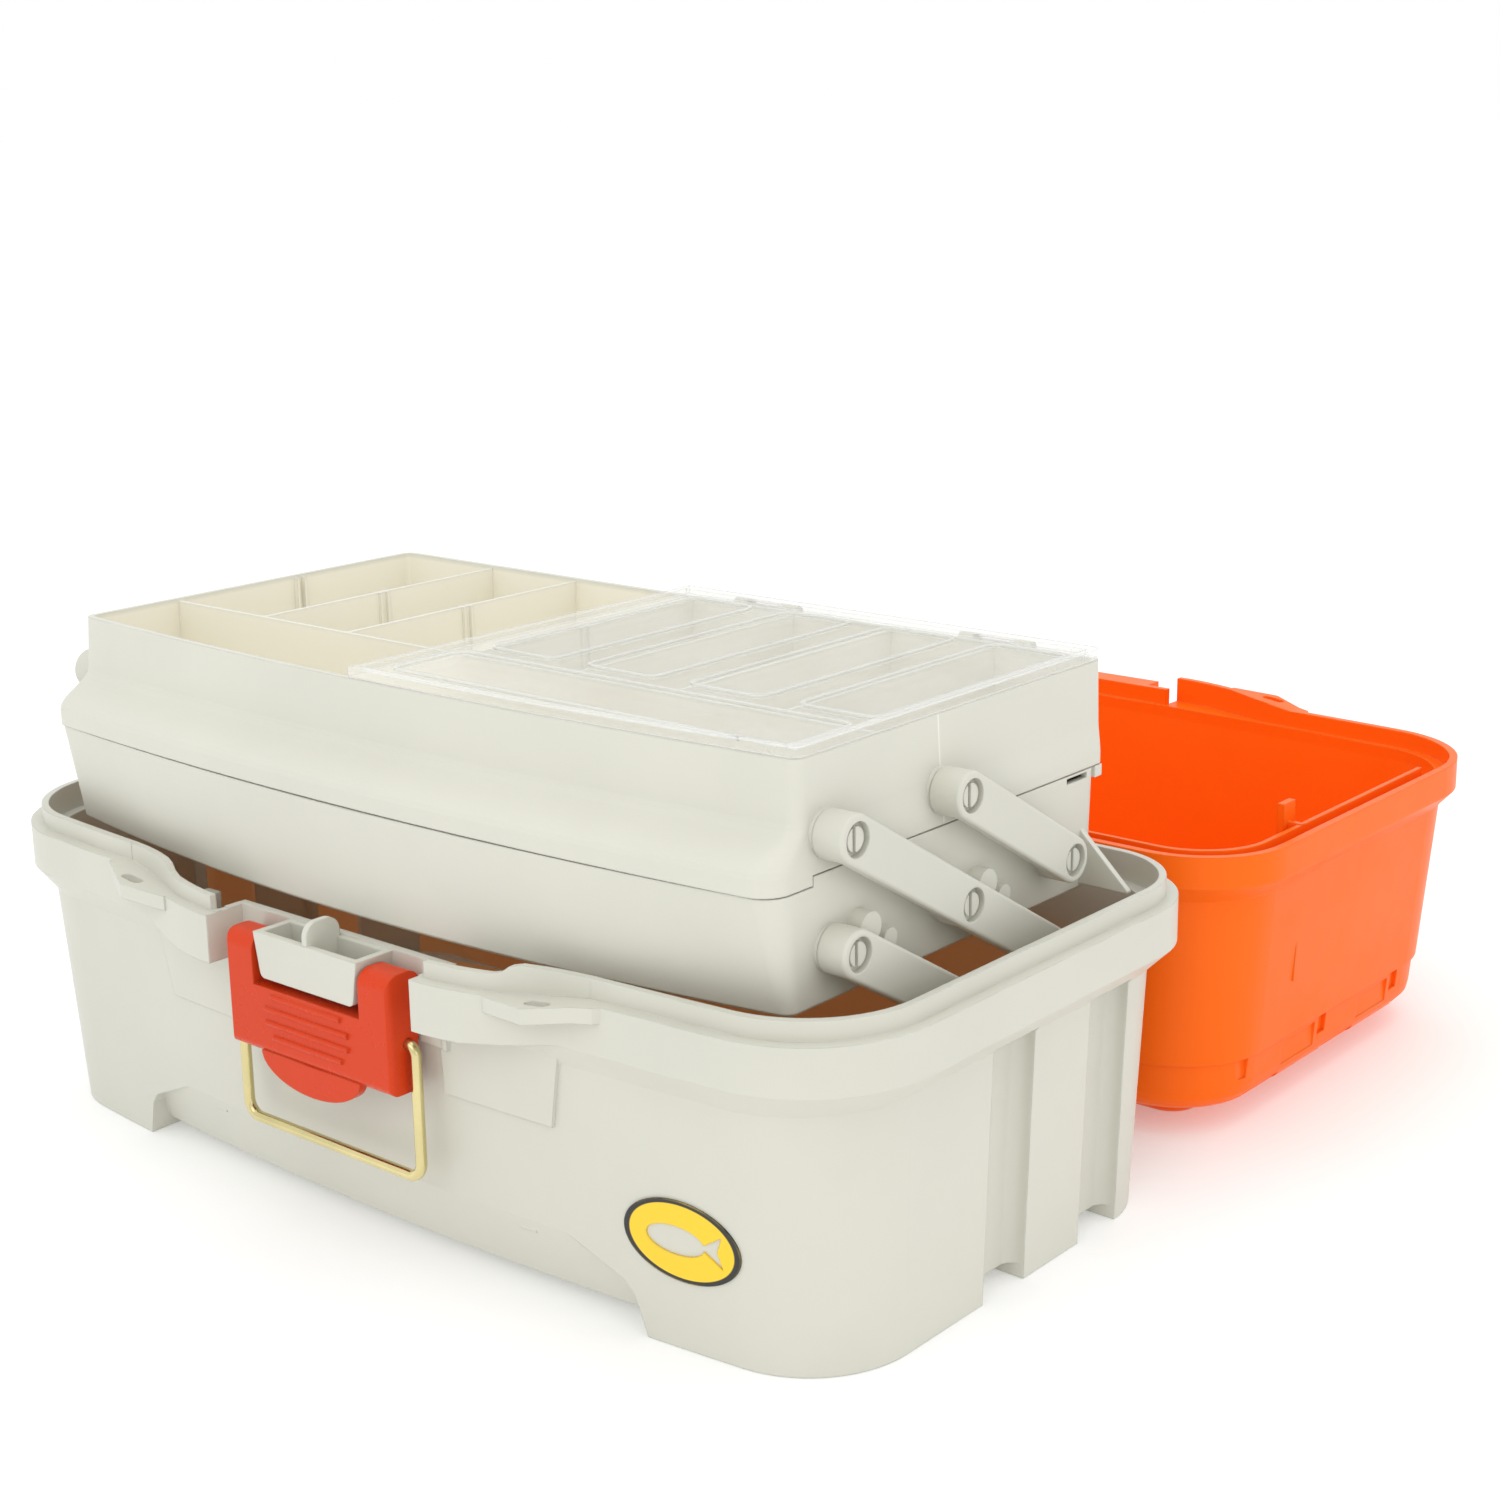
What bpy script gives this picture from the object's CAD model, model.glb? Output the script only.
"""Looks of the fishing tackle box: camera, light, moulded plastics, wire and clear cover."""

import bpy
from mathutils import Matrix, Vector

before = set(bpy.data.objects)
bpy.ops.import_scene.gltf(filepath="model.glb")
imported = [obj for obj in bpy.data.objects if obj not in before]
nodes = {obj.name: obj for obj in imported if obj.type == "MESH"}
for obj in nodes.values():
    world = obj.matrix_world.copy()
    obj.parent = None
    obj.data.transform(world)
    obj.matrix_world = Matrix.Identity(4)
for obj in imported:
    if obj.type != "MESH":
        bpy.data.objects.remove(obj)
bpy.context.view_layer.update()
MM = 0.001

# ---- camera ----
CAMERA_AT = Vector((520.4, -523.2, 324.3)) * MM
CAMERA_FORWARD = Vector((-0.6258, 0.7359, -0.2586)).normalized()
CAMERA_UP = Vector((-0.1551, 0.2076, 0.9658))
LENS_MM = 58.62
SENSOR_MM = 36.0


def make_camera():
    data = bpy.data.cameras.new("camera")
    data.lens = LENS_MM
    data.sensor_width = SENSOR_MM
    data.clip_start = 0.05
    data.clip_end = 50
    camera = bpy.data.objects.new("camera", data)
    bpy.context.collection.objects.link(camera)
    back = -CAMERA_FORWARD
    right = CAMERA_UP.cross(back).normalized()
    up = back.cross(right)
    turn = Matrix((right, up, back)).transposed().to_4x4()
    camera.matrix_world = Matrix.Translation(CAMERA_AT) @ turn
    bpy.context.scene.camera = camera


make_camera()


# ---- shader helpers ----
class Shader:
    """A new material with short calls for adding and joining nodes."""

    def __init__(self, name):
        self.material = bpy.data.materials.new(name)
        self.material.use_nodes = True
        self.tree = self.material.node_tree
        self.bsdf = self.tree.nodes["Principled BSDF"]
        self.coords = self.add("ShaderNodeTexCoord").outputs["Object"]

    def add(self, kind, **settings):
        node = self.tree.nodes.new(kind)
        for key, value in settings.items():
            setattr(node, key, value)
        return node

    def join(self, source, target):
        self.tree.links.new(source, target)

    def set(self, **values):
        for name, value in values.items():
            self.bsdf.inputs[name.replace("_", " ")].default_value = value

    def noise(self, scale, detail=3.0, roughness=0.5):
        node = self.add("ShaderNodeTexNoise")
        node.inputs["Scale"].default_value = scale
        node.inputs["Detail"].default_value = detail
        node.inputs["Roughness"].default_value = roughness
        self.join(self.coords, node.inputs["Vector"])
        return node.outputs["Fac"]

    def remap(self, source, low, high, out_low, out_high):
        node = self.add("ShaderNodeMapRange")
        limits = {"From Min": low, "From Max": high, "To Min": out_low, "To Max": out_high}
        for name, value in limits.items():
            node.inputs[name].default_value = value
        self.join(source, node.inputs["Value"])
        return node.outputs["Result"]

    def math(self, operation, first, second):
        """Result of a Math node for two numbers or number outputs."""
        node = self.add("ShaderNodeMath", operation=operation)
        for value, socket in ((first, node.inputs[0]), (second, node.inputs[1])):
            if isinstance(value, float):
                socket.default_value = value
            else:
                self.join(value, socket)
        return node.outputs[0]

    def mix(self, factor, first, second):
        """Colour between two colours or colour outputs."""
        node = self.add("ShaderNodeMix", data_type="RGBA")
        if isinstance(factor, float):
            node.inputs["Factor"].default_value = factor
        else:
            self.join(factor, node.inputs["Factor"])
        for value, socket in ((first, node.inputs["A"]), (second, node.inputs["B"])):
            if isinstance(value, tuple):
                socket.default_value = value
            else:
                self.join(value, socket)
        return node.outputs["Result"]

    def edges(self, radius):
        """1 near an edge and 0 on a flat, with the rounded normal that finds it."""
        bevel = self.add("ShaderNodeBevel", samples=6)
        bevel.inputs["Radius"].default_value = radius
        normal = self.add("ShaderNodeNewGeometry").outputs["Normal"]
        dot = self.add("ShaderNodeVectorMath", operation="DOT_PRODUCT")
        self.join(bevel.outputs["Normal"], dot.inputs[0])
        self.join(normal, dot.inputs[1])
        return self.remap(dot.outputs["Value"], 0.999, 0.85, 0.0, 1.0), bevel.outputs["Normal"]

    def bump(self, height, distance, strength=1.0, normal=None):
        node = self.add("ShaderNodeBump")
        node.inputs["Distance"].default_value = distance
        node.inputs["Strength"].default_value = strength
        self.join(height, node.inputs["Height"])
        if normal is not None:
            self.join(normal, node.inputs["Normal"])
        return node.outputs["Normal"]


def shade(color, factor):
    return tuple(min(1.0, c * factor) for c in color[:3]) + (1.0,)


def position(s):
    """The three coordinates of a point, in metres."""
    axes = s.add("ShaderNodeSeparateXYZ")
    s.join(s.coords, axes.inputs[0])
    return [axes.outputs[i] for i in range(3)]


# inner outline of the tub: half sizes, draft and middle, in metres
TUB_HALF = (0.1637, 0.0790)
TUB_DRAFT = 0.04
TUB_MIDDLE_Y = 0.0014
TUB_CORNER_POWER = 6.0
TUB_FLOOR_Z = 0.0055
TUB_WALL_END_X = 0.158
TUB_SHADE_Z = (0.079, 0.062)   # the tint fades in between these heights
INWARD = -0.060                # normal times position, below which a wall faces the middle

# cells of the upper tray, between its outer and inner wall faces
CELLS_HALF_X = 0.1485
CELLS_FRONT_Y = -0.0679
CELLS_FRONT_BOW = 0.0073
CELLS_BOW_HALF = 0.1495
CELLS_REAR_Y = 0.0713
CELLS_FLOOR_Z = 0.1348
CELLS_FADE_Z = (0.1643, 0.1625)

PARTING_Y = -0.0094
PARTING_HALF_WIDTH = (0.00045, 0.00015)
TRAY_END_X = 0.1488
UPPER_TRAY_Z = 0.1345

BADGE_AT = (0.124, 0.033)
BADGE_HALF = (0.0190, 0.0120)
BORDER_RADIUS = (0.80, 0.83)   # squared share of the badge's outline where the border starts


def inside_base(s):
    """1 deep in the tub, under the trays, where only light through the plastic gets, and 0 elsewhere."""
    x, y, z = position(s)
    lean = s.math("MULTIPLY", z, TUB_DRAFT)
    away_x = s.math("SUBTRACT", s.math("ABSOLUTE", x, 0.0), lean)
    away_y = s.math("SUBTRACT", s.math("SUBTRACT", y, lean), TUB_MIDDLE_Y)
    across = s.math("POWER", s.math("DIVIDE", away_x, TUB_HALF[0]), TUB_CORNER_POWER)
    along = s.math("POWER", s.math("DIVIDE", away_y, TUB_HALF[1]), TUB_CORNER_POWER)
    plan = s.math("LESS_THAN", s.math("ADD", across, along), 1.0)
    above_floor = s.math("GREATER_THAN", z, TUB_FLOOR_Z)
    facing = s.add("ShaderNodeSeparateXYZ")
    s.join(s.add("ShaderNodeNewGeometry").outputs["Normal"], facing.inputs[0])
    walls = s.math("LESS_THAN", s.math("MULTIPLY", facing.outputs["Y"], y), INWARD)
    walls = s.math("MULTIPLY", walls, s.math("LESS_THAN", s.math("ABSOLUTE", x, 0.0), TUB_WALL_END_X))
    area = s.math("MAXIMUM", plan, walls)
    return s.math("MULTIPLY", s.math("MULTIPLY", area, above_floor), s.remap(z, *TUB_SHADE_Z, 0.0, 1.0))


def inside_upper_tray(s):
    """1 in the cells of the upper tray, which the light through its thin walls brightens."""
    x, y, z = position(s)
    width = s.math("DIVIDE", x, CELLS_BOW_HALF)
    bow = s.math("SUBTRACT", 1.0, s.math("MULTIPLY", width, width))
    front = s.math("MULTIPLY", bow, -CELLS_FRONT_BOW)
    plan = s.math("MULTIPLY", s.math("LESS_THAN", s.math("ABSOLUTE", x, 0.0), CELLS_HALF_X),
                  s.math("GREATER_THAN", s.math("SUBTRACT", y, front), CELLS_FRONT_Y))
    plan = s.math("MULTIPLY", plan, s.math("LESS_THAN", y, CELLS_REAR_Y))
    above_floor = s.math("GREATER_THAN", z, CELLS_FLOOR_Z)
    return s.math("MULTIPLY", s.math("MULTIPLY", plan, above_floor), s.remap(z, *CELLS_FADE_Z, 0.0, 1.0))


def mould_line(s):
    """1 on the thin upright parting line of the upper tray's ends."""
    x, y, z = position(s)
    off = s.math("ABSOLUTE", s.math("SUBTRACT", y, PARTING_Y), 0.0)
    end = s.math("GREATER_THAN", s.math("ABSOLUTE", x, 0.0), TRAY_END_X)
    line = s.remap(off, *PARTING_HALF_WIDTH, 0.0, 1.0)
    return s.math("MULTIPLY", s.math("MULTIPLY", line, end), s.math("GREATER_THAN", z, UPPER_TRAY_Z))


def badge_print(s):
    """1 on the printed dark border of the badge."""
    x, _, z = position(s)
    across = s.math("DIVIDE", s.math("SUBTRACT", x, BADGE_AT[0]), BADGE_HALF[0])
    up = s.math("DIVIDE", s.math("SUBTRACT", z, BADGE_AT[1]), BADGE_HALF[1])
    radius = s.math("ADD", s.math("MULTIPLY", across, across), s.math("MULTIPLY", up, up))
    return s.remap(radius, *BORDER_RADIUS, 0.0, 1.0)


def moulded_plastic(name, color, roughness, grain, edge_tint, zones=(), shine=0.5):
    """Injection-moulded plastic: fine spark texture, slight unevenness, paler worn edges.

    zones are (mask function, colour) pairs laid over the base colour.
    """
    s = Shader(name)
    worn, rounded = s.edges(0.0007)
    cloud = s.remap(s.noise(9.0, 4.0, 0.55), 0.35, 0.65, 0.0, 1.0)
    base = s.mix(cloud, shade(color, 0.965), shade(color, 1.03))
    worn_part = s.remap(s.noise(60.0, 3.0), 0.40, 0.62, 0.0, 0.55)
    for mask, zone_color in zones:
        base = s.mix(mask(s), base, zone_color)
    s.join(s.mix(s.math("MULTIPLY", worn, worn_part), base, edge_tint), s.bsdf.inputs["Base Color"])
    rough = s.remap(s.noise(38.0, 5.0, 0.65), 0.3, 0.7, roughness - 0.06, roughness + 0.07)
    s.join(rough, s.bsdf.inputs["Roughness"])
    fine = s.noise(2600.0, 2.0, 0.6)
    wave = s.noise(24.0, 1.0, 0.4)
    rippled = s.bump(wave, 0.0006, 0.25, rounded)
    s.join(s.bump(fine, grain, 0.6, rippled), s.bsdf.inputs["Normal"])
    s.set(IOR=1.49, Specular_IOR_Level=shine)
    return s


def metal(name, color, roughness, streak):
    """Drawn wire or rod: long fine draw marks and faint smudges."""
    s = Shader(name)
    stretch = s.add("ShaderNodeMapping")
    stretch.inputs["Scale"].default_value = streak
    s.join(s.coords, stretch.inputs["Vector"])
    marks = s.add("ShaderNodeTexNoise")
    marks.inputs["Scale"].default_value = 900.0
    marks.inputs["Detail"].default_value = 4.0
    s.join(stretch.outputs["Vector"], marks.inputs["Vector"])
    smudge = s.remap(s.noise(55.0, 4.0), 0.3, 0.7, 0.0, 1.0)
    s.join(s.mix(smudge, shade(color, 0.86), shade(color, 1.06)), s.bsdf.inputs["Base Color"])
    rough = s.remap(marks.outputs["Fac"], 0.3, 0.7, roughness - 0.05, roughness + 0.08)
    s.join(rough, s.bsdf.inputs["Roughness"])
    s.join(s.bump(marks.outputs["Fac"], 0.00003, 0.5), s.bsdf.inputs["Normal"])
    s.set(Metallic=1.0)
    return s


def clear_plastic(name):
    """Clear moulded cover: nearly see-through flats, milky bright edges, faint scuffs."""
    s = Shader(name)
    edge, rounded = s.edges(0.0009)
    haze = s.remap(s.noise(24.0, 4.0, 0.6), 0.3, 0.7, 0.0, 1.0)
    flat = s.mix(haze, (0.20, 0.20, 0.20, 1.0), (0.30, 0.30, 0.30, 1.0))
    s.join(s.mix(edge, flat, (0.85, 0.85, 0.85, 1.0)), s.bsdf.inputs["Alpha"])
    s.join(s.mix(edge, (0.92, 0.93, 0.89, 1.0), (0.98, 0.98, 0.97, 1.0)), s.bsdf.inputs["Base Color"])
    scuff = s.noise(180.0, 6.0, 0.7)
    s.join(s.remap(scuff, 0.45, 0.8, 0.10, 0.30), s.bsdf.inputs["Roughness"])
    s.join(s.bump(s.noise(60.0, 2.0), 0.0002, 0.2, rounded), s.bsdf.inputs["Normal"])
    s.set(IOR=1.57)
    return s


BONE = (0.615, 0.61, 0.535)
CREAM = (0.665, 0.66, 0.58)
UNDER_TRAYS = (0.70, 0.38, 0.18, 1.0)
THROUGH_WALLS = (0.58, 0.27, 0.10, 1.0)
CELLS = (0.86, 0.83, 0.72, 1.0)
PARTING = (0.80, 0.79, 0.72, 1.0)
PRINT = (0.02, 0.02, 0.02, 1.0)
ORANGE = (1.0, 0.15, 0.005)
RED = (0.64, 0.05, 0.010)
BRASS = (0.72, 0.63, 0.32)
STEEL = (0.60, 0.60, 0.59)
YELLOW = (0.90, 0.60, 0.02)


def dress(material, *names):
    for name in names:
        mesh = nodes[name].data
        mesh.materials.clear()
        mesh.materials.append(material)


BONE_EDGE = (0.86, 0.855, 0.81, 1.0)
ORANGE_EDGE = (1.0, 0.24, 0.04, 1.0)
RED_EDGE = (0.80, 0.13, 0.05, 1.0)
YELLOW_EDGE = (0.95, 0.7, 0.15, 1.0)
THROUGH_STRENGTH = 0.10
SATIN = (0.42, 0.00004)        # roughness and height of the spark texture


def tub_plastic():
    """The bone plastic, tinted and faintly lit through its walls where the trays cover it."""
    s = moulded_plastic("tub_plastic", BONE, *SATIN, BONE_EDGE, [(inside_base, UNDER_TRAYS)])
    glow = s.math("MULTIPLY", inside_base(s), THROUGH_STRENGTH)
    s.join(glow, s.bsdf.inputs["Emission Strength"])
    s.set(Emission_Color=THROUGH_WALLS)
    return s


bone = moulded_plastic("bone_plastic", BONE, *SATIN, BONE_EDGE).material
tub = tub_plastic().material
cream = moulded_plastic("tray_plastic", CREAM, *SATIN, BONE_EDGE,
                        [(inside_upper_tray, CELLS), (mould_line, PARTING)]).material
orange = moulded_plastic("orange_plastic", ORANGE, 0.34, 0.00003, ORANGE_EDGE, shine=0.15).material
red = moulded_plastic("latch_plastic", RED, 0.28, 0.00002, RED_EDGE, shine=0.18).material
yellow = moulded_plastic("badge_plastic", YELLOW, 0.30, 0.00001, YELLOW_EDGE,
                         [(badge_print, PRINT)]).material
brass = metal("brass_wire", BRASS, 0.18, (1.0, 1.0, 0.05)).material
steel = metal("steel_pin", STEEL, 0.30, (0.05, 1.0, 1.0)).material
clear = clear_plastic("clear_plastic").material

dress(tub, "base_shell")
dress(cream, "upper_tray", "lower_tray")
dress(bone, "base_pivot_pins", "lower_tray_pins", "upper_tray_pins",
      "long_arm_left", "long_arm_right", "rear_arm_left", "rear_arm_right",
      "front_arm_left", "front_arm_right")
dress(orange, "lid_shell", "carry_handle")
dress(red, "latch_lever")
dress(yellow, "badge")
dress(brass, "latch_bail")
dress(steel, "latch_pins", "lid_hinge_pins", "handle_pins", "cover_hinge_pins")
dress(clear, "tray_cover")


# ---- studio ----
def area_light(name, at, target, size, power, color):
    data = bpy.data.lights.new(name, "AREA")
    data.shape = "RECTANGLE"
    data.size, data.size_y = size
    data.energy = power
    data.color = color
    light = bpy.data.objects.new(name, data)
    bpy.context.collection.objects.link(light)
    light.location = at
    light.rotation_euler = (Vector(target) - Vector(at)).to_track_quat("-Z", "Y").to_euler()


WHITE = (1.0, 1.0, 1.0, 1.0)
FLOOR_SIZE = 40
FLOOR_Z = -0.0002
FLOOR_GLOW = 0.24              # keeps the floor white out to the horizon
BOX_MIDDLE = (0, 0, 0.08)


def studio():
    bpy.ops.mesh.primitive_plane_add(size=FLOOR_SIZE, location=(0, 0, FLOOR_Z))
    floor = bpy.context.object
    floor.name = "floor"
    s = Shader("floor")
    tone = s.mix(s.noise(2.0), (0.80, 0.80, 0.80, 1.0), (0.82, 0.82, 0.82, 1.0))
    s.join(tone, s.bsdf.inputs["Base Color"])
    s.set(Roughness=1.0, Specular_IOR_Level=0.0, Emission_Color=WHITE, Emission_Strength=FLOOR_GLOW)
    floor.data.materials.append(s.material)
    world = bpy.data.worlds.new("studio")
    world.use_nodes = True
    background = world.node_tree.nodes["Background"]
    background.inputs["Color"].default_value = WHITE
    background.inputs["Strength"].default_value = 1.0
    bpy.context.scene.world = world
    area_light("key", (0.2, -1.7, 1.5), BOX_MIDDLE, (1.5, 1.2), 5, (0.97, 1.0, 0.95))
    area_light("fill", (1.9, -0.3, 0.9), BOX_MIDDLE, (1.2, 1.2), 2.5, (1.0, 0.95, 0.90))
    area_light("top", (0, 0.3, 2.2), (0, 0.1, 0), (2.0, 2.0), 8, WHITE[:3])
    bpy.context.scene.view_settings.view_transform = "Standard"


studio()
